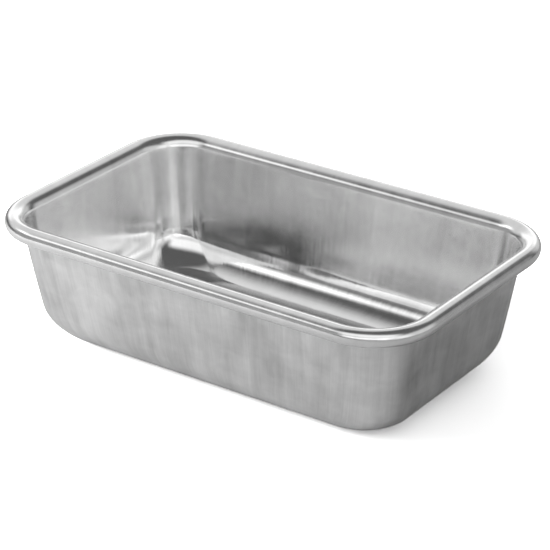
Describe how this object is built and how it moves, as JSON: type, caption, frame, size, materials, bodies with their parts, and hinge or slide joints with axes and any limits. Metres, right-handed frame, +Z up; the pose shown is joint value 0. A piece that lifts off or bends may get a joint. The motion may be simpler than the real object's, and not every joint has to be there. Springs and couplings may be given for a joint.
{
  "type": "loaf pan",
  "caption": "Rectangular loaf pan drawn without a seam from one sheet, with tapered walls, rounded corners, a large bottom radius and a round wired rim.",
  "frame": {"origin": "centre of the flat underside of the base", "axes": "+X along the pan's length, +Y across its width, +Z up out of the open mouth"},
  "size_m": [0.261, 0.1644, 0.0746],
  "materials": {
    "pan_metal": "satin rolled sheet with faint vertical draw lines on the walls, smoother on the base inside",
    "wire_metal": "bright drawn wire"
  },
  "bodies": {
    "root": {"pan_shell": "pan_metal", "rim_wire": "wire_metal"}
  },
  "joints": []
}
